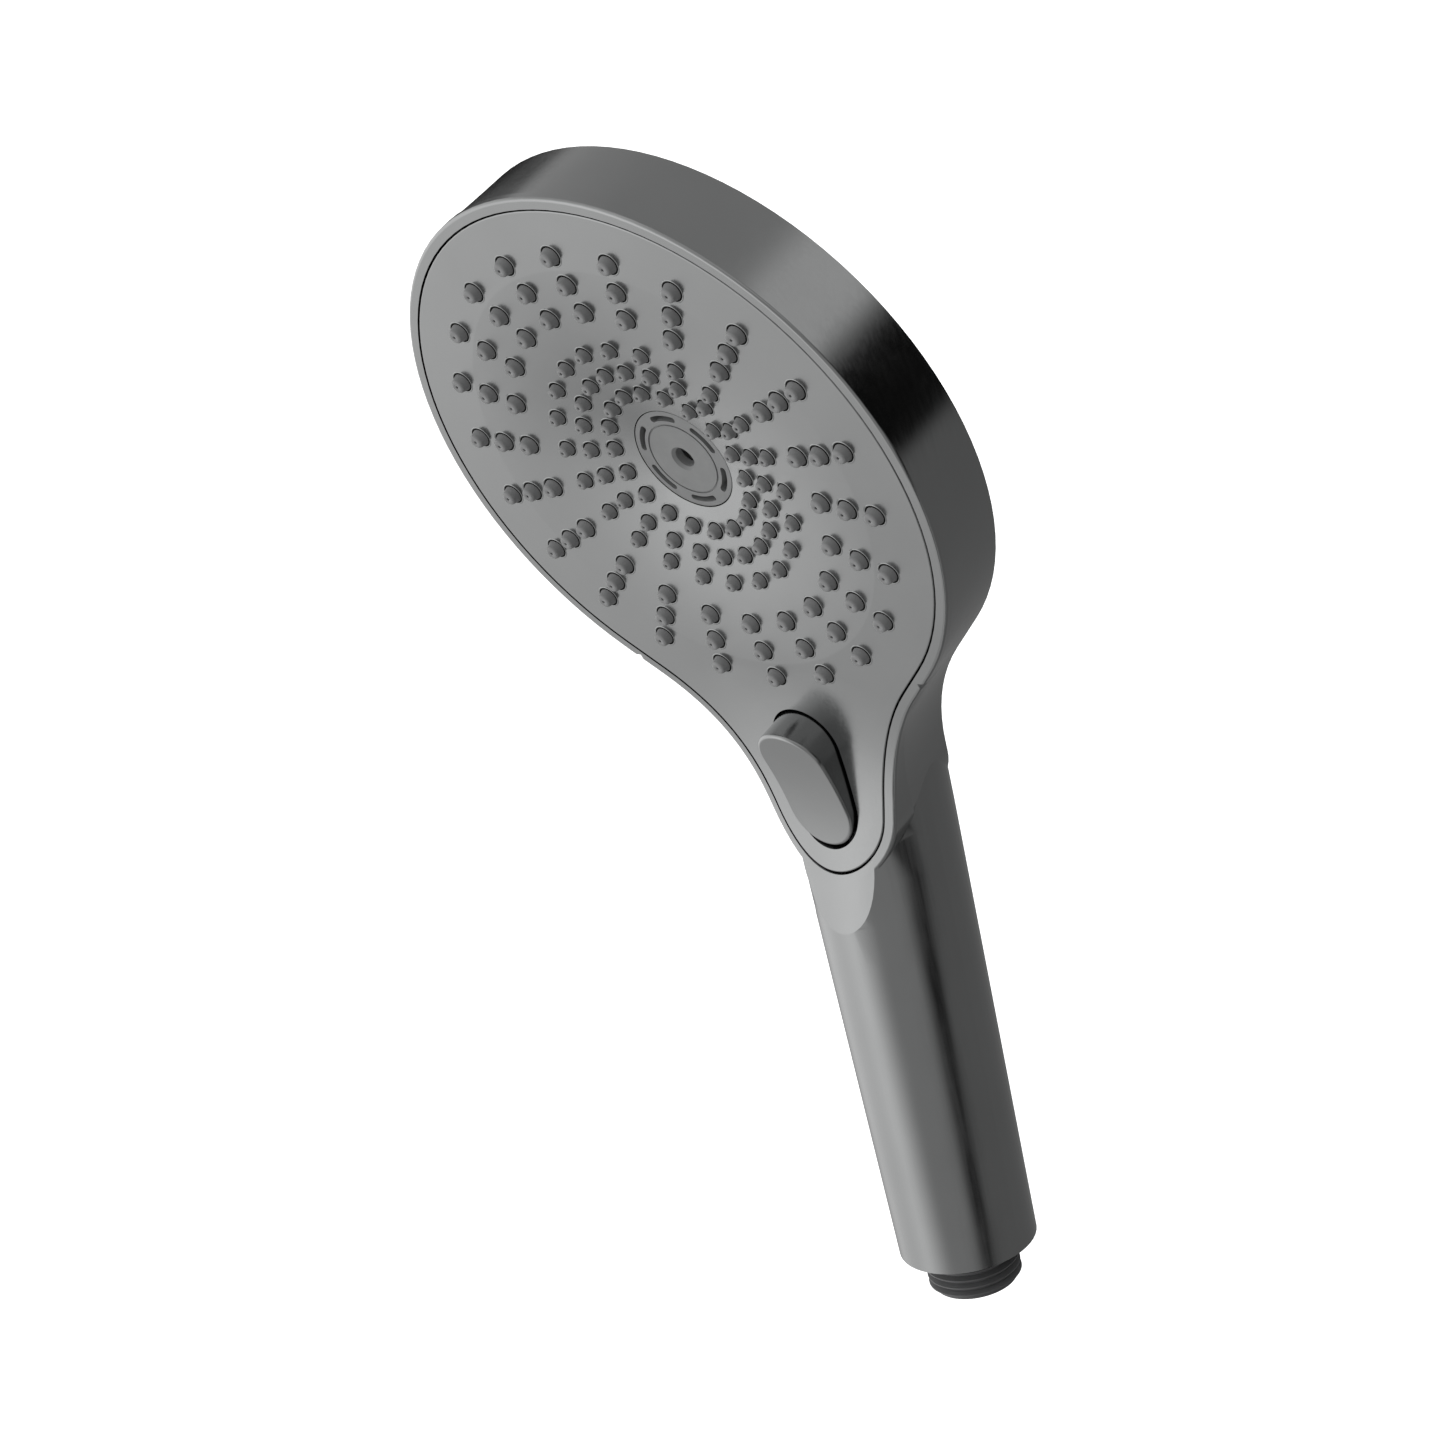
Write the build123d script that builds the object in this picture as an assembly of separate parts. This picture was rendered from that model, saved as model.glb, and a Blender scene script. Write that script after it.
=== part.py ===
from build123d import *
import os
from math import cos, radians, sin, tan

# Handheld shower head with a push-button spray selector. Millimetres, +Z up the handle.
# The origin is on the handle's axis at the open end of the hose thread. The spray face
# looks towards -Y and downwards. +X is to the right of someone holding the handle.
# Head pieces are drawn in the head's own frame: x right, y up the face and z out of it,
# with z = 0 at the tips of the outermost nozzles.

# Head
TILT = 18.35  # degrees between the face and the handle's axis
FACE_Y, FACE_Z = -36.9, 200.4  # where the head frame's origin stands
HEAD_R = 62.4  # face plate's edge
TONGUE_R, TONGUE_S = 15.9, 81.2  # rounded end around the button, and its distance below the centre
NECK_R = 61.6  # hollow curve between the head and the tongue
FLANK, SIDE = 47.9, 16.6  # lean of the head's flanks and of the tongue's sides, degrees
RIM_W, RIM_ROUND = 2.6, 0.7  # the shell's land around the face plate
LIP = 0.25  # how far the rim stands out over the side wall
FRONT_Z, BACK_Z = -2.0, -20.2
WALL = 2.6
EDGE_GAP, PLATE_ROUND = 0.18, 0.3  # half the joint line between face plate and shell; the plate's rounded edge

# The tongue rises out of the flat face as a shallow curved ramp that sags to either side
RISE_FROM = 50.0
RISE_K, CROWN_K = 1 / 205, 4.9e-6

# Dished middle of the face
DISH_R, DISH_K, DISH_LEAN = 48.6, 0.0027, 12.8
CAP_R = 11.7
PLATE_T, MAT_T = 2.2, 1.1

# Nozzle rings as (radius, count), from the outside in
OUTER_RINGS = ((52.0, 22), (45.25, 22), (38.5, 22))
INNER_RINGS = ((28.75, 22), (22.9, 22), (17.05, 18))
OUTER_NOZZLE = {"hole": 2.35, "base": 2.0, "tip": 1.5}
INNER_NOZZLE = {"hole": 1.95, "base": 1.62, "tip": 1.15}
NOZZLE_H = 1.9
ORIFICE_R = 0.3
MAT_SPLIT_R = 34.4

# Water chambers behind the mats
CHAMBER_R = 58.4
RIB_W = 2.0
BASE_Z, BASE_T = -11.6, 1.6
SCREW_R, SCREW_COUNT = 60.1, 6
CHANNEL_TOP, CHANNEL_FLOOR = -13.5, -17.3
CHANNELS = ((-8.5, 46.0), (0.0, 5.0), (8.5, 26.0))  # x and how far down the face each one feeds
OUTLET_S = 66.0  # where the valve's outlets meet the channels

# Button
BUTTON_R, BUTTON_TOP_S, BUTTON_END_S = 9.1, 60.5, 92.1  # its opening in the face plate
BUTTON_GAP, BUTTON_ROUND = 0.6, 0.7
BUTTON_Z, BUTTON_DISH_R = 6.5, 80.0
ROOF_Z, SKIRT_Z = 3.4, -3.4
PIVOT_S, PIVOT_Z, PIN_R, PIN_LENGTH = 88.0, 0.0, 1.2, 24.0
FIT = 0.05  # radial running clearance

# Handle
HANDLE_Z, HANDLE_R, HANDLE_SLOPE, HANDLE_WALL = 10.0, 15.43, 0.01634, 2.8
HANDLE_TOP = 150.0  # where its rounded upper end starts

# Handle's mouth, with the snap ring that holds the connector
MOUTH_R, MOUTH_TOP = 13.9, 15.7
RING_R, RING_Z = 14.3, 11.4

# Connector, G1/2
THREAD_R, THREAD_ROOT_R, THREAD_PITCH = 10.4775, 9.3, 1.814
INLET_R, SEAT_DEPTH = 7.6, 4.4
FILTER_R, INLET_DEPTH = 7.2, 9.8
SPIGOT_R = 8.6

# Water tube
TUBE_R, TUBE_BORE, SOCKET_R = 8.3, 6.6, 11.3
TUBE_LOW, TUBE_HIGH = 17.0, 100.0

# Selector valve, its axis along Y through the handle's axis
VALVE_Z = 130.0
BARREL_R, BARREL_FRONT, BARREL_BACK = 5.5, -5.0, 3.4
HOUSING_R = 7.6
PORT_R, PORT_STEP = 1.6, 40.0
TEETH, TOOTH_TIP, TOOTH_ROOT = 9, 3.9, 2.4
WHEEL_FRONT, WHEEL_BACK = 5.2, 9.4

HEAD = Plane(
    origin=(0, FACE_Y, FACE_Z),
    x_dir=(1, 0, 0),
    z_dir=(0, -cos(radians(TILT)), -sin(radians(TILT))),
).location
ACROSS = Plane.XZ.location  # its z looks along -Y


def prism(sketch, low, high):
    return Pos(0, 0, low) * extrude(sketch, high - low, dir=(0, 0, 1))


def rod(radius, low, high):
    return Pos(0, 0, (low + high) / 2) * Cylinder(radius, high - low)


def tube(outer, inner, low, high):
    return rod(outer, low, high) - rod(inner, low - 1, high + 1)


def block(x, y, z):
    """A box from three (low, high) pairs."""
    size = [high - low for low, high in (x, y, z)]
    middle = [(high + low) / 2 for low, high in (x, y, z)]
    return Pos(*middle) * Box(*size)


def o_ring(middle_r, section_r, z):
    return Pos(0, 0, z) * Torus(middle_r, section_r)


def handle_radius(z):
    return HANDLE_R + HANDLE_SLOPE * (z - HANDLE_Z)


def slant(angle):
    return Vector(cos(radians(angle)), -sin(radians(angle)))


def along(angle):
    return Vector(-sin(radians(angle)), -cos(radians(angle)))


def mirrored(point):
    return Vector(-point.X, point.Y)


def keyhole(grow, tongue_grow=None):
    """The head's outline grown by grow: a circle whose flanks run through hollow curves to the tongue."""
    end = TONGUE_R + (grow if tongue_grow is None else tongue_grow)
    big, hollow = HEAD_R + grow, NECK_R - grow
    leave = slant(FLANK) * big
    arrive = Vector(0, -TONGUE_S) + slant(SIDE) * end
    # the corner where flank and side would meet, which the hollow curve rounds off
    gap, flank, side = arrive - leave, along(FLANK), along(SIDE)
    reach = (gap.X * side.Y - gap.Y * side.X) / (flank.X * side.Y - flank.Y * side.X)
    corner = leave + flank * reach
    cut = hollow * tan(radians(FLANK - SIDE) / 2)
    start, stop = corner - flank * cut, corner + side * cut
    middle = start + slant(FLANK) * hollow - slant((FLANK + SIDE) / 2) * hollow
    return make_face(
        [
            ThreePointArc(leave, (0, big), mirrored(leave)),
            Line(mirrored(leave), mirrored(start)),
            ThreePointArc(mirrored(start), mirrored(middle), mirrored(stop)),
            Line(mirrored(stop), mirrored(arrive)),
            ThreePointArc(mirrored(arrive), (0, -TONGUE_S - end), arrive),
            Line(arrive, stop),
            ThreePointArc(stop, middle, start),
            Line(start, leave),
        ]
    )


def under_front(drop=0.0):
    """Everything below the front surface, lowered by drop: a flat part and the tongue's ramp."""
    half, length = 40.0, 66.0
    centre, edge = RISE_K + CROWN_K * half**2, RISE_K - CROWN_K * half**2
    poles = [
        [Vector(x, -RISE_FROM - length * t, FRONT_Z - drop + share * k * length**2)
         for t, share in ((0, 0), (0.5, 0), (1, 1))]
        for x, k in ((-half, edge), (0, centre), (half, edge))
    ]
    ramp = Solid.extrude(Face.make_bezier_surface(poles), Vector(0, 0, -60))
    flat = block((-80, 80), (-RISE_FROM, 100), (FRONT_Z - drop - 60, FRONT_Z - drop))
    return flat + ramp


def dish_height(radius):
    inward = max(0.0, DISH_R - radius)
    return FRONT_Z - DISH_K * inward * (inward + DISH_LEAN)


def under_dish(drop=0.0):
    """Everything below the face's skin lowered by drop, dish included."""
    inner, half_way = CAP_R + 0.3, (CAP_R + DISH_R) / 2
    points = [(r, dish_height(r) - drop) for r in (inner, half_way, DISH_R)]
    profile = make_face(
        [
            Line((0, points[0][1]), points[0]),
            ThreePointArc(*points),
            Line(points[2], (DISH_R, 10)),
            Line((DISH_R, 10), (0, 10)),
            Line((0, 10), (0, points[0][1])),
        ]
    )
    return under_front(drop) - revolve(Plane.XZ * profile, Axis.Z)


def layer(top_drop, thickness):
    """A sheet that follows the face's skin."""
    return under_dish(top_drop) - under_dish(top_drop + thickness)


def spots(rings):
    """(place, ring radius) of every nozzle; each ring has one on the side of the handle."""
    return [
        (Rot(0, 0, 360 / count * i - 90) * Pos(radius, 0, 0) * Rot(0, 0, 45), radius)
        for radius, count in rings
        for i in range(count)
    ]


def stadium(radius, top_s, end_s):
    """Upright slot outline with its two ends at the distances given below the centre."""
    return Pos(0, -(top_s + end_s) / 2) * Rot(0, 0, 90) * SlotOverall(end_s - top_s, 2 * radius)


def handle_solid(inset, low):
    """The handle's cone and its round upper end, inset from the outside."""
    radius = handle_radius(HANDLE_TOP) - inset
    profile = make_face(
        [
            Line((0, low), (handle_radius(low) - inset, low)),
            Line((handle_radius(low) - inset, low), (radius, HANDLE_TOP)),
            CenterArc((0, HANDLE_TOP), radius, 0, 90),
            Line((0, HANDLE_TOP + radius), (0, low)),
        ]
    )
    return revolve(Plane.XZ * profile, Axis.Z)


def screw_spots():
    """The screws' places in the head frame, clear of the neck."""
    return [Rot(0, 0, -54 + 288 / (SCREW_COUNT - 1) * i) * Pos(SCREW_R, 0, 0) for i in range(SCREW_COUNT)]


def rounded_front(grow, low, radius):
    """Everything from low up to the front skin inside the grown outline, with the edge rounded."""
    front = prism(keyhole(grow), low, FRONT_Z + 28) & under_front()
    skin = [face for face in front.faces() if face.normal_at().Z > 0.5]
    edges = [edge for face in skin for edge in face.outer_wire().edges()]
    rim = [edge for edge in edges if abs(edge.tangent_at(0.5).X) < 0.999 or edge.center().Y > 0]
    return fillet(rim, radius)


def body_shell():
    """Head, tongue and handle in one moulding, open at the front and at the handle's end."""
    pan = loft(
        [Pos(0, 0, FRONT_Z - 2) * keyhole(RIM_W - LIP), Pos(0, 0, BACK_Z) * keyhole(RIM_W - 0.6, RIM_W - 2)],
        ruled=True,
    )
    # the tongue's ramp runs on into the handle's front
    above = HEAD * (block((-30, 30), (-112, -RISE_FROM - 10), (-5, 40)) - under_front())
    handle = handle_solid(0, HANDLE_Z) - above
    shell = HEAD * (pan + rounded_front(RIM_W, FRONT_Z - 2, RIM_ROUND)) + handle
    floor = BACK_Z + WALL
    shell -= HEAD * prism(keyhole(EDGE_GAP), floor, FRONT_Z + 30)
    shell -= handle_solid(HANDLE_WALL, MOUTH_TOP - 1)
    shell -= rod(MOUTH_R, HANDLE_Z - 1, MOUTH_TOP)
    shell -= tube(RING_R + 0.2, 13.0, RING_Z - 0.1, RING_Z + 1.1)
    # posts for the chamber plate's screws, and rests for the face plate beside the button
    posts = [spot * rod(2.5, floor - 1, BASE_Z - BASE_T) for spot in screw_spots()]
    rests = [block((side * 17.0 - 2, side * 17.0 + 2), (-78, -73), (-9, 10)) for side in (-1, 1)]
    shell += HEAD * (Part() + posts)
    shell += HEAD * ((Part() + rests) & under_front(PLATE_T + 0.1))
    shell -= HEAD * (Part() + [spot * rod(0.85, floor - 0.5, BASE_Z) for spot in screw_spots()])
    return shell


def nozzle_holes(rings, radius):
    return [spot * rod(radius, dish_height(ring) - 4, dish_height(ring) + 4) for spot, ring in spots(rings)]


def face_plate():
    plate = rounded_front(-EDGE_GAP, -12, PLATE_ROUND) & layer(0, PLATE_T)
    # ears that carry the button's hinge pin
    ears = [
        block((side * 11.2 - 1.4, side * 11.2 + 1.4), (-PIVOT_S - 2.4, -PIVOT_S + 2.4), (-2.4, 3.2))
        for side in (-1, 1)
    ]
    plate += ears
    plate -= rod(CAP_R + 0.25, -20, 5)
    plate -= prism(stadium(BUTTON_R, BUTTON_TOP_S, BUTTON_END_S), -10, 30)
    plate -= nozzle_holes(OUTER_RINGS, OUTER_NOZZLE["hole"])
    plate -= nozzle_holes(INNER_RINGS, INNER_NOZZLE["hole"])
    plate -= Pos(0, -PIVOT_S, PIVOT_Z) * Rot(0, 90, 0) * Cylinder(PIN_R + 0.01, PIN_LENGTH + 0.2)
    return HEAD * plate


def nozzle(size, ring):
    """One soft nozzle: tapered, with a rounded tip, a fine orifice and a hollow behind it."""
    skin = dish_height(ring)
    tip, root = skin + NOZZLE_H, skin - PLATE_T - 0.6
    outer = make_face(
        [
            Line((0, root), (size["base"], root)),
            Line((size["base"], root), (size["base"], skin)),
            Line((size["base"], skin), (size["tip"] + 0.1, tip - 0.5)),
            ThreePointArc((size["tip"] + 0.1, tip - 0.5), (size["tip"] - 0.1, tip - 0.12), (size["tip"] - 0.5, tip)),
            Line((size["tip"] - 0.5, tip), (0, tip)),
            Line((0, tip), (0, root)),
        ]
    )
    return revolve(Plane.XZ * outer, Axis.Z)


def nozzle_core(size, ring):
    skin = dish_height(ring)
    hollow_r = size["tip"] - 0.5
    return rod(hollow_r, skin - 6, skin + NOZZLE_H - 1.0) + rod(ORIFICE_R, skin - 6, skin + NOZZLE_H + 1)


def nozzle_mat(rings, size, outer_r, inner_r):
    mat = tube(outer_r, inner_r, -20, 5) & layer(PLATE_T + 0.1, MAT_T)
    mat += [spot * nozzle(size, ring) for spot, ring in spots(rings)]
    mat -= [spot * nozzle_core(size, ring) for spot, ring in spots(rings)]
    return HEAD * mat


def outer_nozzle_mat():
    return nozzle_mat(OUTER_RINGS, OUTER_NOZZLE, CHAMBER_R, MAT_SPLIT_R)


def inner_nozzle_mat():
    return nozzle_mat(INNER_RINGS, INNER_NOZZLE, MAT_SPLIT_R - 0.3, CAP_R + 0.5)


def centre_jet_insert():
    top = dish_height(CAP_R)
    insert = rod(CAP_R, top - 2.4, top) + tube(CAP_R - 0.4, CAP_R - 2.0, BASE_Z + 0.05, top - 2)
    insert -= tube(8.55, 8.15, top - 0.3, top + 1)
    insert -= rod(2.3, top - 5, top + 1)
    insert -= Pos(0, 0, top - 0.3) * Cone(2.3, 2.9, 0.61)
    slot = SlotArc(CenterArc((0, 0), 10.0, 90 - 16, 32), 1.3)
    insert -= [Rot(0, 0, 60 * i) * prism(slot, top - 5, top + 1) for i in range(6)]
    return HEAD * insert


def chamber_plate():
    """Base disc with three sealing ribs that press the mats against the face plate."""
    plate = rod(HEAD_R - 0.5, BASE_Z - BASE_T, BASE_Z)
    under_mats = under_dish(PLATE_T + MAT_T + 0.15)
    for outer in (CHAMBER_R, MAT_SPLIT_R + 1.0, CAP_R + 0.5 + RIB_W):
        plate += tube(outer, outer - RIB_W, BASE_Z - 0.5, 0) & under_mats
    ports = [Pos(x, -s, 0) * rod(2.0, -20, BASE_Z + 1) for x, s in CHANNELS]
    plate -= ports
    plate -= [spot * rod(1.15, -20, 0) for spot in screw_spots()]
    return HEAD * plate


def plate_screw():
    """The same screw six times, with pan heads and crossed recesses."""
    shank = rod(0.82, BASE_Z - 4.6, BASE_Z + 0.1)
    head = Pos(0, 0, BASE_Z + 0.02) * Cylinder(1.5, 1.1, align=(Align.CENTER, Align.CENTER, Align.MIN))
    cross = Box(1.8, 0.4, 1.2) + Box(0.4, 1.8, 1.2)
    screw = shank + head - Pos(0, 0, BASE_Z + 1.2) * cross
    return HEAD * (Part() + [spot * screw for spot in screw_spots()])


def channel_plate():
    """Flat moulding with three closed channels from the valve's outlets to the chambers."""
    wide = 12.4
    plate = prism(Pos(0, -31) * RectangleRounded(2 * wide, 78, 6), CHANNEL_FLOOR, CHANNEL_TOP)
    for x, s in CHANNELS:
        plate -= block((x - 2.1, x + 2.1), (-OUTLET_S - 1.8, -s + 1.8), (CHANNEL_FLOOR + 1.0, CHANNEL_TOP - 1.0))
        plate -= Pos(x, -s, 0) * rod(1.9, CHANNEL_TOP - 1.5, CHANNEL_TOP + 1)
        plate -= Pos(x, -s, 0) * tube(2.95, 1.9, CHANNEL_TOP - 0.7, CHANNEL_TOP + 1)
        plate -= Pos(x, -OUTLET_S, 0) * rod(1.9, CHANNEL_FLOOR - 1, CHANNEL_FLOOR + 1.5)
        plate -= Pos(x, -OUTLET_S, 0) * tube(2.95, 1.9, CHANNEL_FLOOR - 1, CHANNEL_FLOOR + 0.5)
    return HEAD * plate


def chamber_port_seal():
    rings = [Pos(x, -s, 0) * o_ring(2.42, 0.4, CHANNEL_TOP - 0.25) for x, s in CHANNELS]
    return HEAD * (Part() + rings)


def outlet_port_seal():
    rings = [Pos(x, -OUTLET_S, 0) * o_ring(2.42, 0.32, CHANNEL_FLOOR + 0.13) for x, s in CHANNELS]
    return HEAD * (Part() + rings)


def button_top():
    """Everything below the button's thumb-dished top."""
    middle = (BUTTON_TOP_S + BUTTON_END_S) / 2
    dish = Pos(0, -middle, BUTTON_Z - 1.5 + BUTTON_DISH_R) * Rot(0, 90, 0) * Cylinder(BUTTON_DISH_R, 60)
    return block((-20, 20), (-110, -40), (-20, BUTTON_Z + 3)) - dish


def selector_button():
    """Hollow stadium cap on a hinge at its lower end."""
    radius, top_s, end_s = BUTTON_R - BUTTON_GAP, BUTTON_TOP_S + BUTTON_GAP, BUTTON_END_S - BUTTON_GAP
    outline = stadium(radius, top_s, end_s)
    cap = prism(outline, SKIRT_Z, BUTTON_Z + 2) & button_top()
    top = cap.faces().sort_by(Axis.Z)[-1]
    cap = fillet(top.outer_wire().edges(), BUTTON_ROUND)
    inside = stadium(radius - 1.4, top_s + 1.4, end_s - 1.4)
    cap -= prism(inside, SKIRT_Z - 1, ROOF_Z)
    lug = Pos(0, -PIVOT_S, PIVOT_Z) * Rot(0, 90, 0) * Cylinder(2.6, 2 * radius)
    web = Pos(0, -PIVOT_S, 0) * block((-radius, radius), (-1.2, 1.2), (0, ROOF_Z + 0.5))
    cap += (lug + web) & prism(outline, SKIRT_Z, ROOF_Z + 0.5)
    cap -= Pos(0, -PIVOT_S, PIVOT_Z) * Rot(0, 90, 0) * Cylinder(PIN_R + FIT, 30)
    cap += Pos(0, -OUTLET_S, 0) * rod(1.7, 1.6, ROOF_Z + 0.5)
    return HEAD * cap


def button_pivot_pin():
    return HEAD * Pos(0, -PIVOT_S, PIVOT_Z) * Rot(0, 90, 0) * Cylinder(PIN_R, PIN_LENGTH)


def button_spring():
    low, high = CHANNEL_TOP + 0.35, ROOF_Z - 0.35
    path = Helix(pitch=(high - low) / 7, height=high - low, radius=2.3)
    wire = Plane(origin=path @ 0, z_dir=path % 0) * Circle(0.3)
    return HEAD * Pos(0, -OUTLET_S, low) * sweep(wire, path=path, is_frenet=True)


def pawl_arm():
    """Foot pressed into the button, with a bar that reaches past the valve to the ratchet wheel."""
    foot = block((3.2, 9.3), (-74, -70), (-4.6, -3.5)) + block((3.2, 6.6), (-74, -70), (-4.6, ROOF_Z))
    bar = block((7.95, 9.3), (-10.2, WHEEL_FRONT + 1.8), (VALVE_Z + 1.4, VALVE_Z + 4.2))
    finger = block((2.7, 9.3), (WHEEL_FRONT + 0.1, WHEEL_FRONT + 1.8), (VALVE_Z + 1.4, VALVE_Z + 2.3))
    return HEAD * foot + bar + finger


def barrel_axis(shape):
    """Stands a piece drawn along +z on the valve's axis, pointing along +Y."""
    return Pos(0, 0, VALVE_Z) * Rot(-90, 0, 0) * shape


def outlet_holes(radius):
    """Straight holes from the barrel's bore to the three ports of the channel plate."""
    holes = []
    for i, (x, s) in enumerate(CHANNELS):
        angle = radians(PORT_STEP * (i - 1))
        start = Vector(2.0 * sin(angle), 1.6, VALVE_Z + 2.0 * cos(angle))
        stop = (HEAD * Pos(x, -OUTLET_S, CHANNEL_FLOOR + 0.5)).position
        holes.append(Plane(origin=start, z_dir=stop - start) * rod(radius, 0, (stop - start).length))
    return holes


def valve_housing():
    """Socket for the water tube, cross bore for the barrel and a block with the three outlets."""
    low, front, back = TUBE_HIGH - 7.8, BARREL_FRONT - 1.6, BARREL_BACK + 0.3
    stem = rod(11.4, low, VALVE_Z - 5) - block((-20, 20), (-20, -4.3), (TUBE_HIGH + 4, VALVE_Z))
    upper = block((-11.6, 11.6), (-8, 8), (VALVE_Z + 7.5, VALVE_Z + 17))
    upper += block((-8.4, 8.4), (BARREL_FRONT - 1, BARREL_BACK), (VALVE_Z + 4.8, VALVE_Z + 12))
    upper &= HEAD * block((-40, 40), (-110, 40), (-60, CHANNEL_FLOOR - 0.2))
    housing = barrel_axis(rod(HOUSING_R, front, back)) + stem + upper
    housing &= handle_solid(HANDLE_WALL + 0.3, 80)
    # room for the valve cap, the wheel and the pawl
    housing -= block((-12, 12), (back, 20), (VALVE_Z - 8, VALVE_Z + 7.8))
    housing -= barrel_axis(rod(BARREL_R + FIT, BARREL_FRONT - 0.3, 20))
    housing -= rod(TUBE_R + 0.15, low - 1, TUBE_HIGH + 0.3)
    housing -= block((-2.5, 2.5), (-3.3, -1.7), (TUBE_HIGH - 1, VALVE_Z - 4.8))
    housing -= outlet_holes(PORT_R)
    return housing


def valve_barrel():
    """Plug fed through a groove, with three ports so that every third of a turn looks the same."""
    barrel = barrel_axis(rod(BARREL_R, BARREL_FRONT, BARREL_BACK))
    barrel -= barrel_axis(tube(BARREL_R + 1, 4.3, -3.4, -1.6))
    barrel += barrel_axis(rod(1.6, BARREL_BACK - 1, WHEEL_BACK + 0.5))
    barrel -= barrel_axis(rod(2.6, -3.0, 2.4))
    side = Rot(0, 90, 0) * rod(PORT_R, 0, 9)
    for i in range(3):
        barrel -= barrel_axis(Pos(0, 0, 1.6) * Rot(0, 0, 120 * i + 90) * Rot(0, 0, 180) * side)
        barrel -= barrel_axis(Pos(0, 0, -2.5) * Rot(0, 0, 120 * i) * Rot(0, 90, 0) * rod(0.85, 0, 9))
    for z in (-4.3, -0.7):
        barrel -= barrel_axis(tube(BARREL_R + 1, 4.75, z - 0.45, z + 0.45))
    return barrel


def barrel_seal():
    rings = [barrel_axis(o_ring(5.13, 0.36, z)) for z in (-4.3, -0.7)]
    return Part() + rings


def valve_cap():
    cap = rod(HOUSING_R, BARREL_BACK + 0.35, BARREL_BACK + 1.45) - rod(1.66, 0, 10)
    return barrel_axis(cap)


def ratchet_wheel():
    """Saw-toothed wheel; the pawl pushes each tooth's upper face."""
    outline = Circle(TOOTH_ROOT)
    tooth = [(2.2, 20.0), (TOOTH_TIP, 20.0), (TOOTH_TIP, 11.0), (2.2, 3.0)]
    for i in range(TEETH):
        step = 360 / TEETH * i
        corners = [(r * cos(radians(a + step)), r * sin(radians(a + step))) for r, a in tooth]
        outline += make_face(Polyline(*corners, close=True))
    wheel = extrude(outline, WHEEL_BACK - WHEEL_FRONT) - rod(1.62, -1, 10)
    return Pos(0, WHEEL_BACK, VALVE_Z) * ACROSS * wheel


def water_tube():
    wall = tube(TUBE_R + 0.2, TUBE_BORE, TUBE_LOW + 16, TUBE_HIGH - 8)
    socket = tube(SOCKET_R, SPIGOT_R + 0.1, TUBE_LOW, TUBE_LOW + 15)
    taper = Pos(0, 0, TUBE_LOW + 15.5) * (Cylinder(SOCKET_R, 1.0) - Cylinder(TUBE_BORE, 2.0))
    spigot = tube(TUBE_R, TUBE_BORE, TUBE_HIGH - 8, TUBE_HIGH)
    groove = tube(TUBE_R + 1, TUBE_R - 0.8, TUBE_HIGH - 3.2, TUBE_HIGH - 2.0)
    return socket + taper + wall + spigot - groove


def tube_seal():
    high = o_ring(TUBE_R - 0.33, 0.46, TUBE_HIGH - 2.6)
    low = o_ring(SPIGOT_R - 0.38, 0.46, TUBE_LOW + 6.6)
    return Part() + [high, low]


def inlet_connector():
    """G1/2 male thread, a flange that closes the handle and a spigot for the water tube."""
    body = rod(THREAD_ROOT_R, 0, 11)
    ridge = make_face(Polyline((0, -0.72), (THREAD_ROOT_R, -0.72), (THREAD_R, -0.14), (THREAD_R, 0.14),
                               (THREAD_ROOT_R, 0.72), (0, 0.72), close=True))
    for i in range(5):
        body += Pos(0, 0, 1.5 + THREAD_PITCH * i) * revolve(Plane.XZ * ridge, Axis.Z)
    body += rod(12.0, 10, 13)
    body += rod(MOUTH_R - 0.2, RING_Z + 1.2, MOUTH_TOP - 0.2)
    body += rod(SPIGOT_R, 15, TUBE_LOW + 12)
    body -= tube(SPIGOT_R + 1, SPIGOT_R - 0.85, TUBE_LOW + 6, TUBE_LOW + 7.2)
    body -= rod(INLET_R, -1, SEAT_DEPTH)
    body -= rod(FILTER_R, 3, INLET_DEPTH)
    body -= rod(5.4, 5, 40)
    return body


def retaining_ring():
    """Open ring that snaps into the handle's groove below the connector's flange."""
    ring = tube(RING_R, 12.4, RING_Z, RING_Z + 1.0)
    return ring - block((-2.2, 2.2), (10, 16), (RING_Z - 1, RING_Z + 2))


def filter_screen():
    """Rim with a grid of square holes."""
    disc = tube(FILTER_R - 0.1, FILTER_R - 1.1, 4.6, 6.2) + rod(FILTER_R - 0.6, 5.1, 5.7)
    holes = [
        Pos(1.3 * i, 1.3 * j, 5.4) * Box(0.8, 0.8, 2)
        for i in range(-4, 5)
        for j in range(-4, 5)
        if (i * i + j * j) * 1.3**2 < 5.4**2
    ]
    return disc - holes


def flow_regulator():
    """Disc whose soft ring closes round a spider as the pressure rises."""
    disc = rod(FILTER_R - 0.1, 6.4, INLET_DEPTH - 0.1) - rod(5.0, 7.6, 12) - rod(2.2, 6, 12)
    slots = [Rot(0, 0, 45 * i) * block((2.9, 4.6), (-0.7, 0.7), (6, 9)) for i in range(8)]
    return disc - slots


PARTS = (
    body_shell,
    face_plate,
    outer_nozzle_mat,
    inner_nozzle_mat,
    centre_jet_insert,
    chamber_plate,
    plate_screw,
    channel_plate,
    chamber_port_seal,
    outlet_port_seal,
    selector_button,
    button_pivot_pin,
    button_spring,
    pawl_arm,
    valve_housing,
    valve_barrel,
    barrel_seal,
    valve_cap,
    ratchet_wheel,
    water_tube,
    tube_seal,
    inlet_connector,
    retaining_ring,
    filter_screen,
    flow_regulator,
)

os.makedirs("parts", exist_ok=True)
for make in PARTS:
    export_step(make(), f"parts/{make.__name__}.step")
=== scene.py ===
import math

import bpy
from mathutils import Matrix, Vector


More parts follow.
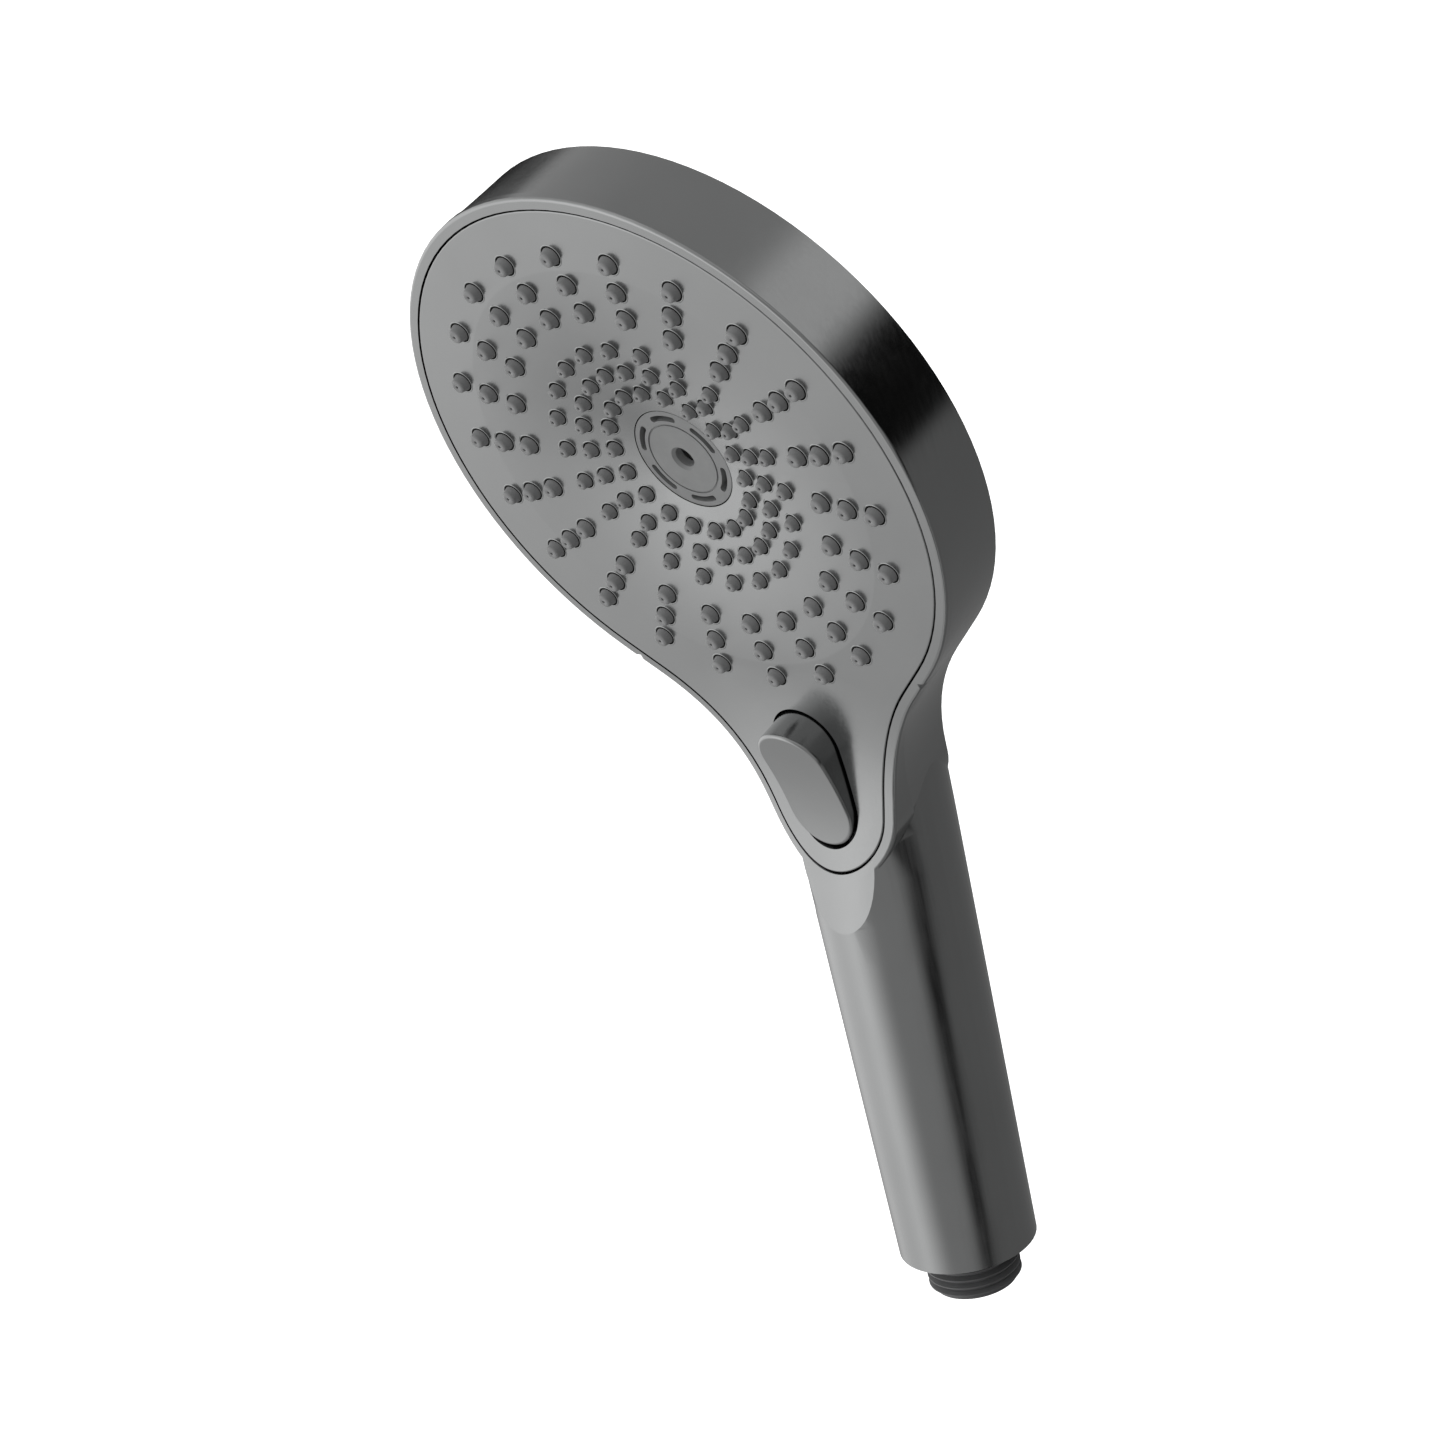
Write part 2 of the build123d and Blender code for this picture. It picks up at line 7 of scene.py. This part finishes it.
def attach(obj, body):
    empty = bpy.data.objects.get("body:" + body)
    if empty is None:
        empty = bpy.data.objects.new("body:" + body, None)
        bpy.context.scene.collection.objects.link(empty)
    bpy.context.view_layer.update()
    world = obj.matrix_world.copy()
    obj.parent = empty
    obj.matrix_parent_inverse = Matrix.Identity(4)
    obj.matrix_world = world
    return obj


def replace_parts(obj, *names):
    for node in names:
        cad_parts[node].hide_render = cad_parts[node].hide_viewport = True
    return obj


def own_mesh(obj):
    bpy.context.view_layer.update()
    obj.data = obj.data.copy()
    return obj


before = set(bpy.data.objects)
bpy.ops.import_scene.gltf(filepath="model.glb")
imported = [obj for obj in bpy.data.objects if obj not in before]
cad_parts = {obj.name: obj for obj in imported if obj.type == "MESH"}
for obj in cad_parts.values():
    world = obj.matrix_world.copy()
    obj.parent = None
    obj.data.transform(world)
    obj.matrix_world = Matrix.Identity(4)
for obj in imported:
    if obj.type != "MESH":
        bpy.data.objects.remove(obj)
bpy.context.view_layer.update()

# The camera stands where the photograph was taken from, a little to the right of and above the face
CAMERA_AT = (0.4832, -0.4624, 0.3699)
CAMERA_TURN = (70.574, 12.407, 44.238)  # degrees about X, Y and Z
CAMERA_LENS, CAMERA_SENSOR = 84.39, 36.0

FLOOR_DROP = 0.35  # how far the floor lies below the hose thread

# The head's own frame, as in the CAD: x right, y up the face, z out of it. Lengths here are in millimetres.
HEAD_TILT = math.radians(18.35)
HEAD_AT = (0.0, -36.9, 200.4)
MM = 0.001
FRONT_Z = -2.0
DISH_R, DISH_K, DISH_LEAN = 48.6, 0.0027, 12.8
PLATE_T, MAT_T = 2.2, 1.1
NOZZLE_H, ORIFICE_R = 1.9, 0.3
OUTER_MAT = {"rings": ((52.0, 22), (45.25, 22), (38.5, 22)), "hole": 2.35, "base": 2.0, "tip": 1.5,
             "sheet": (34.4, 58.4)}
INNER_MAT = {"rings": ((28.75, 22), (22.9, 22), (17.05, 18)), "hole": 1.95, "base": 1.62, "tip": 1.15,
             "sheet": (12.2, 34.1)}
LATHE_STEPS, SHEET_STEPS = 40, 96  # sides of a nozzle and of a mat
SHEET_RINGS = 12  # rings across a mat, so that it follows the dish
SHARP_ANGLE = math.radians(50)
GAP_SHADOW_LIFT = 0.045  # how far the ring of painted shadow that stands for a nozzle's gap lies above the skin


def add_camera():
    data = bpy.data.cameras.new("camera")
    data.lens = CAMERA_LENS
    data.sensor_width = CAMERA_SENSOR
    data.sensor_fit = "HORIZONTAL"
    data.clip_start = 0.01
    data.clip_end = 200
    camera = bpy.data.objects.new("camera", data)
    camera.location = CAMERA_AT
    camera.rotation_euler = [math.radians(turn) for turn in CAMERA_TURN]
    bpy.context.scene.collection.objects.link(camera)
    bpy.context.scene.camera = camera


# Node helpers


class Tree:
    """Short ways to add shader nodes; a value may be a number or another node's output."""

    def __init__(self, tree):
        self.nodes, self.links = tree.nodes, tree.links
        self.nodes.clear()

    def add(self, kind, **settings):
        node = self.nodes.new(kind)
        for name, value in settings.items():
            setattr(node, name, value)
        return node

    def feed(self, socket, value):
        if isinstance(value, bpy.types.NodeSocket):
            self.links.new(value, socket)
        else:
            socket.default_value = value

    def calc(self, operation, a, b=0.0, c=0.0):
        node = self.add("ShaderNodeMath", operation=operation)
        for socket, value in zip(node.inputs, (a, b, c)):
            self.feed(socket, value)
        return node.outputs[0]

    def ramp(self, value, low, high, out_low=0.0, out_high=1.0):
        """Smooth step from out_low to out_high as value goes from low to high."""
        node = self.add("ShaderNodeMapRange", interpolation_type="SMOOTHSTEP")
        limits = {"From Min": low, "From Max": high, "To Min": out_low, "To Max": out_high}
        for name, number in limits.items():
            self.feed(node.inputs[name], number)
        self.feed(node.inputs["Value"], value)
        return node.outputs["Result"]

    def noise(self, scale, detail=3.0, stretch=(1, 1, 1), rough=0.5):
        place = self.add("ShaderNodeTexCoord").outputs["Object"]
        mapping = self.add("ShaderNodeMapping")
        mapping.inputs["Scale"].default_value = stretch
        self.links.new(place, mapping.inputs["Vector"])
        node = self.add("ShaderNodeTexNoise")
        self.links.new(mapping.outputs[0], node.inputs["Vector"])
        node.inputs["Scale"].default_value = scale
        node.inputs["Detail"].default_value = detail
        node.inputs["Roughness"].default_value = rough
        return node.outputs["Fac"]

    def tint(self, factor, dark, light):
        node = self.add("ShaderNodeMix", data_type="RGBA")
        self.feed(node.inputs[0], factor)
        node.inputs[6].default_value = (*dark, 1)
        node.inputs[7].default_value = (*light, 1)
        return node.outputs[2]

    def bump(self, height, strength, depth):
        node = self.add("ShaderNodeBump")
        node.inputs["Strength"].default_value = strength
        node.inputs["Distance"].default_value = depth
        self.links.new(height, node.inputs["Height"])
        return node.outputs[0]


def principled(name, metallic, color, roughness, normal, **shader_values):
    """A material whose colour, roughness and normal come from functions that add nodes to its tree."""
    material = bpy.data.materials.new(name)
    material.use_nodes = True
    tree = Tree(material.node_tree)
    shader = tree.add("ShaderNodeBsdfPrincipled")
    output = tree.add("ShaderNodeOutputMaterial")
    tree.links.new(shader.outputs[0], output.inputs["Surface"])
    shader.inputs["Metallic"].default_value = metallic
    for key, value in shader_values.items():
        shader.inputs[key.replace("_", " ")].default_value = value
    tree.feed(shader.inputs["Base Color"], color(tree))
    tree.feed(shader.inputs["Roughness"], roughness(tree))
    tree.feed(shader.inputs["Normal"], normal(tree))
    return material


# Materials


def satin_chrome(name, grain=(1, 1, 1), roughness=0.17):
    """Dark chrome plating: a fine satin grain, faint clouding and slight swells of the moulding under it."""

    def color(tree):
        return tree.tint(tree.noise(38, 4), (0.325, 0.329, 0.329), (0.37, 0.375, 0.375))

    def rough(tree):
        cloud = tree.ramp(tree.noise(55, 5), 0.3, 0.7, roughness - 0.025, roughness + 0.03)
        return tree.calc("ADD", cloud, tree.ramp(tree.noise(1400, 2, grain), 0.3, 0.7, -0.02, 0.03))

    def normal(tree):
        grain_height = tree.noise(2600, 3, grain)
        swell = tree.noise(20, 1)
        height = tree.calc("MULTIPLY_ADD", swell, 12.0, grain_height)
        return tree.bump(height, 0.35, 0.000004)

    return principled(name, 1.0, color, rough, normal)


def moulded(name, dark, light, roughness, grain=1800.0, depth=0.00002, specular=0.45):
    """Moulded plastic or rubber with a spark-eroded grain and a little mottling."""

    def color(tree):
        return tree.tint(tree.noise(260, 5), dark, light)

    def rough(tree):
        return tree.ramp(tree.noise(600, 3), 0.3, 0.7, roughness - 0.06, roughness + 0.06)

    def normal(tree):
        return tree.bump(tree.noise(grain, 4), 0.5, depth)

    return principled(name, 0.0, color, rough, normal, Specular_IOR_Level=specular)


def drawn_steel(name):
    def color(tree):
        return tree.tint(tree.noise(300, 3, (1, 1, 12)), (0.5, 0.5, 0.51), (0.66, 0.66, 0.67))

    def rough(tree):
        return tree.ramp(tree.noise(900, 3, (1, 1, 14)), 0.3, 0.7, 0.22, 0.36)

    def normal(tree):
        return tree.bump(tree.noise(1500, 3, (1, 1, 16)), 0.3, 0.00001)

    return principled(name, 1.0, color, rough, normal)


# Pieces built here, in place of packed ones or laid over them


def dish_height(radius):
    inward = max(0.0, DISH_R - radius)
    return FRONT_Z - DISH_K * inward * (inward + DISH_LEAN)


def head_matrix():
    lean, rise = math.cos(HEAD_TILT), math.sin(HEAD_TILT)
    turn = Matrix(((1, 0, 0), (0, -rise, -lean), (0, lean, -rise))).to_4x4()
    return Matrix.Translation([MM * part for part in HEAD_AT]) @ turn @ Matrix.Scale(MM, 4)


def ring_spots(rings):
    """Centres of a mat's nozzles, the first of each ring on the side of the handle."""
    for radius, count in rings:
        for i in range(count):
            angle = 2 * math.pi * i / count - math.pi / 2
            yield radius * math.cos(angle), radius * math.sin(angle)


class Lathe:
    """A mesh of turned shapes; a profile is a list of (radius, height above the face's skin)."""

    def __init__(self):
        self.points, self.faces = [], []

    def turn(self, x, y, profile, steps=LATHE_STEPS, closed=False, level=None):
        first = len(self.points)
        for radius, height in profile:
            for i in range(steps):
                angle = 2 * math.pi * i / steps
                px, py = x + radius * math.cos(angle), y + radius * math.sin(angle)
                skin = dish_height(math.hypot(px, py)) if level is None else level
                self.points.append((px, py, skin + height))
        rows = len(profile)
        for row in range(rows if closed else rows - 1):
            low, high = first + row * steps, first + (row + 1) % rows * steps
            for i in range(steps):
                j = (i + 1) % steps
                self.faces.append((low + i, low + j, high + j, high + i))

    def piece(self, name, material, slot):
        mesh = bpy.data.meshes.new(name)
        mesh.from_pydata(self.points, [], self.faces)
        mesh.transform(head_matrix())
        for face in mesh.polygons:
            face.use_smooth = True
        mesh.set_sharp_from_angle(angle=SHARP_ANGLE)
        mesh.materials.append(material)
        piece = bpy.data.objects.new(name, mesh)
        bpy.context.scene.collection.objects.link(piece)
        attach(piece, "housing")
        return piece


def nozzle_profile(base, tip):
    """Foot in the plate's hole, tapered side, rounded shoulder, and the orifice with its small lip."""
    profile = [(base, -PLATE_T - 0.2), (base, -0.1), (base - 0.03, 0.05)]
    shoulder, bulge = tip + 0.1, 0.6
    for i in range(7):
        turn = math.pi / 2 * i / 6
        profile.append((shoulder - bulge * (1 - math.cos(turn)), NOZZLE_H - bulge * (1 - math.sin(turn))))
    profile += [(ORIFICE_R + 0.1, NOZZLE_H), (ORIFICE_R, NOZZLE_H - 0.08), (ORIFICE_R, -1.5), (0.02, -1.5)]
    return profile


def add_mat(name, mat, material, node):
    """The nozzles and the sheet they grow from."""
    lathe = Lathe()
    for x, y in ring_spots(mat["rings"]):
        skin = dish_height(math.hypot(x, y))
        lathe.turn(x, y, nozzle_profile(mat["base"], mat["tip"]), level=skin)
    inner, outer = mat["sheet"]
    radii = [inner + (outer - inner) * i / SHEET_RINGS for i in range(SHEET_RINGS + 1)]
    top = [(radius, -PLATE_T - 0.1) for radius in radii]
    under = [(radius, -PLATE_T - 0.1 - MAT_T) for radius in reversed(radii)]
    lathe.turn(0, 0, top + under, steps=SHEET_STEPS, closed=True)
    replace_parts(lathe.piece(name, material, "silicone"), node)


def add_hole_lips(chrome, shade):
    """A raised lip round every nozzle hole, and a near-black ring of painted shadow between the lip and the
    nozzle.

    The ring stands in for the shadowed gap. It lies just above the skin and covers the plate's real gap.
    """
    lips, gap_shadow_rings = Lathe(), Lathe()
    for mat in (OUTER_MAT, INNER_MAT):
        hole, base = mat["hole"], mat["base"]
        lip = [(hole - 0.03, 0.0), (hole - 0.02, 0.06), (hole + 0.05, 0.09), (hole + 0.14, 0.08),
               (hole + 0.24, 0.03), (hole + 0.28, -0.1)]
        gap = [(base - 0.05, GAP_SHADOW_LIFT), (hole, GAP_SHADOW_LIFT), (hole, -0.05), (base - 0.05, -0.05)]
        for x, y in ring_spots(mat["rings"]):
            lips.turn(x, y, lip)
            gap_shadow_rings.turn(x, y, gap, closed=True)
    lips.piece("hole_lips", chrome, "black_chrome")
    # painted shadow: near-black rings laid over the gap round each nozzle
    gap_shadow_rings.piece("hole_gap_shadows", shade, "silicone")


def add_spring(material):
    """The button's coil spring, copied from the packed piece onto the housing."""
    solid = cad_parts["button_spring"]
    spring = bpy.data.objects.new("coil_spring", solid.data.copy())
    bpy.context.scene.collection.objects.link(spring)
    spring.data.transform(solid.matrix_world)
    spring.data.materials.clear()
    spring.data.materials.append(material)
    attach(spring, "housing")
    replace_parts(spring, "button_spring")
    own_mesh(spring)


def give(material, *nodes):
    for node in nodes:
        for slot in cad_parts[node].material_slots:
            slot.link = "OBJECT"
            slot.material = material


def add_materials():
    give(satin_chrome("shell_chrome", (1, 1, 0.05)), "body_shell")
    face = satin_chrome("face_chrome", roughness=0.2)
    give(face, "face_plate")
    # gap_shade is a near-black painted shadow for the rings in the nozzle gaps
    shade = moulded("gap_shade", (0.004, 0.004, 0.004), (0.01, 0.01, 0.01), 0.8, specular=0.1)
    add_hole_lips(face, shade)
    give(satin_chrome("button_chrome", roughness=0.2), "selector_button")
    silicone = moulded("silicone", (0.29, 0.293, 0.295), (0.36, 0.363, 0.365), 0.55)
    add_mat("outer_nozzles", OUTER_MAT, silicone, "outer_nozzle_mat")
    add_mat("inner_nozzles", INNER_MAT, silicone, "inner_nozzle_mat")
    grey = moulded("grey_plastic", (0.27, 0.275, 0.275), (0.34, 0.345, 0.345), 0.48)
    give(grey, "centre_jet_insert", "pawl_arm")
    give(moulded("dark_plastic", (0.13, 0.132, 0.135), (0.18, 0.182, 0.185), 0.45), "inlet_connector")
    inner = moulded("inner_plastic", (0.5, 0.51, 0.52), (0.58, 0.59, 0.6), 0.5)
    give(inner, "chamber_plate", "channel_plate", "valve_housing", "valve_cap", "water_tube")
    white = moulded("white_plastic", (0.76, 0.76, 0.74), (0.84, 0.84, 0.82), 0.35)
    give(white, "valve_barrel", "ratchet_wheel", "flow_regulator")
    rubber = moulded("seal_rubber", (0.02, 0.02, 0.02), (0.035, 0.035, 0.035), 0.6)
    give(rubber, "chamber_port_seal", "outlet_port_seal", "barrel_seal", "tube_seal")
    steel = drawn_steel("steel")
    give(steel, "plate_screw", "button_pivot_pin", "retaining_ring", "filter_screen")
    add_spring(steel)


# Studio. Directions are given as (azimuth from +X, elevation) in degrees.


def studio_window(tree, place, azimuth, half_width, soft):
    """1 inside a range of azimuths and 0 outside, whatever the elevation."""
    turn = math.radians(azimuth)
    ahead = tree.calc("ADD", tree.calc("MULTIPLY", place[0], math.cos(turn)),
                      tree.calc("MULTIPLY", place[1], math.sin(turn)))
    aside = tree.calc("SUBTRACT", tree.calc("MULTIPLY", place[1], math.cos(turn)),
                      tree.calc("MULTIPLY", place[0], math.sin(turn)))
    angle = tree.calc("DEGREES", tree.calc("ARCTAN2", aside, ahead))
    return tree.ramp(tree.calc("ABSOLUTE", angle), half_width - soft, half_width + soft, 1.0, 0.0)


def add_studio_light():
    world = bpy.data.worlds.new("studio")
    bpy.context.scene.world = world
    world.use_nodes = True
    tree = Tree(world.node_tree)
    split = tree.add("ShaderNodeSeparateXYZ")
    tree.links.new(tree.add("ShaderNodeTexCoord").outputs["Generated"], split.inputs[0])
    place = split.outputs
    height = tree.calc("DEGREES", tree.calc("ARCSINE", place[2]))

    def product(*values):
        result = values[0]
        for value in values[1:]:
            result = tree.calc("MULTIPLY", result, value)
        return result

    # overall wash, brighter in front of the face
    light = tree.calc("ADD", 0.24, product(studio_window(tree, place, -78, 56, 16), 0.22))
    # large soft key low on the left, strongest just under the horizon
    key = product(studio_window(tree, place, -150, 50, 26), tree.ramp(height, -52, -14, 0.35, 1.25))
    light = tree.calc("ADD", light, product(key, tree.ramp(height, 5, 45, 1.0, 0.25)))
    # light from above, with a brighter panel behind the head's right side
    overhead = tree.ramp(height, 22, 30)
    light = tree.calc("ADD", light, product(overhead, 0.22))
    panel = product(studio_window(tree, place, 36, 22, 10), tree.ramp(height, 26, 32),
                    tree.ramp(height, 50, 60, 1.0, 0.0), 0.42)
    light = tree.calc("ADD", light, panel)
    # dark gap between the lights along the horizon at the back right
    gap = product(studio_window(tree, place, 72, 80, 9), tree.ramp(height, -10, -4),
                  tree.ramp(height, 20, 27, 1.0, 0.0))
    light = product(light, tree.calc("SUBTRACT", 1.0, product(gap, 0.96)))
    # and its narrow continuation downwards at the front right
    azimuth = tree.calc("DEGREES", tree.calc("ARCTAN2", place[1], place[0]))
    slanted = tree.calc("SUBTRACT", azimuth, tree.calc("MULTIPLY", tree.calc("ADD", height, 29.0), 2.0))
    strip = product(tree.ramp(slanted, -40, -16), tree.ramp(slanted, -8, -3, 1.0, 0.0),
                    tree.ramp(height, -10, -5, 1.0, 0.0))
    light = product(light, tree.calc("SUBTRACT", 1.0, product(strip, 0.96)))

    studio = tree.add("ShaderNodeBackground")
    tree.links.new(light, studio.inputs["Strength"])
    backdrop = tree.add("ShaderNodeBackground")
    backdrop.inputs["Strength"].default_value = 1.0
    chooser = tree.add("ShaderNodeMixShader")
    tree.links.new(tree.add("ShaderNodeLightPath").outputs["Is Camera Ray"], chooser.inputs[0])
    tree.links.new(studio.outputs[0], chooser.inputs[1])
    tree.links.new(backdrop.outputs[0], chooser.inputs[2])
    tree.links.new(chooser.outputs[0], tree.add("ShaderNodeOutputWorld").inputs[0])


def add_floor():
    """Plain white floor far below, which only the camera sees, so the metal reflects the studio alone."""
    mesh = bpy.data.meshes.new("floor")
    reach, level = 60.0, -FLOOR_DROP
    corners = [(-reach, -reach, level), (reach, -reach, level), (reach, reach, level), (-reach, reach, level)]
    mesh.from_pydata(corners, [], [(0, 1, 2, 3)])
    floor = bpy.data.objects.new("floor", mesh)
    bpy.context.scene.collection.objects.link(floor)
    floor.visible_glossy = False
    floor.visible_diffuse = False
    floor.visible_shadow = False

    def color(tree):
        return tree.tint(tree.noise(3), (0.9, 0.9, 0.9), (0.93, 0.93, 0.93))

    def rough(tree):
        return 0.9

    def normal(tree):
        return tree.bump(tree.noise(60), 0.1, 0.0005)

    white = (1, 1, 1, 1)
    paint = principled("floor_paint", 0.0, color, rough, normal, Emission_Color=white, Emission_Strength=1.0)
    mesh.materials.append(paint)


def smooth_cad():
    """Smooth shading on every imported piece."""
    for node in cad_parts.values():
        for face in node.data.polygons:
            face.use_smooth = True


add_camera()
bpy.context.scene.view_settings.view_transform = "Standard"
bpy.context.scene.view_settings.look = "None"
add_studio_light()
add_floor()
add_materials()
smooth_cad()
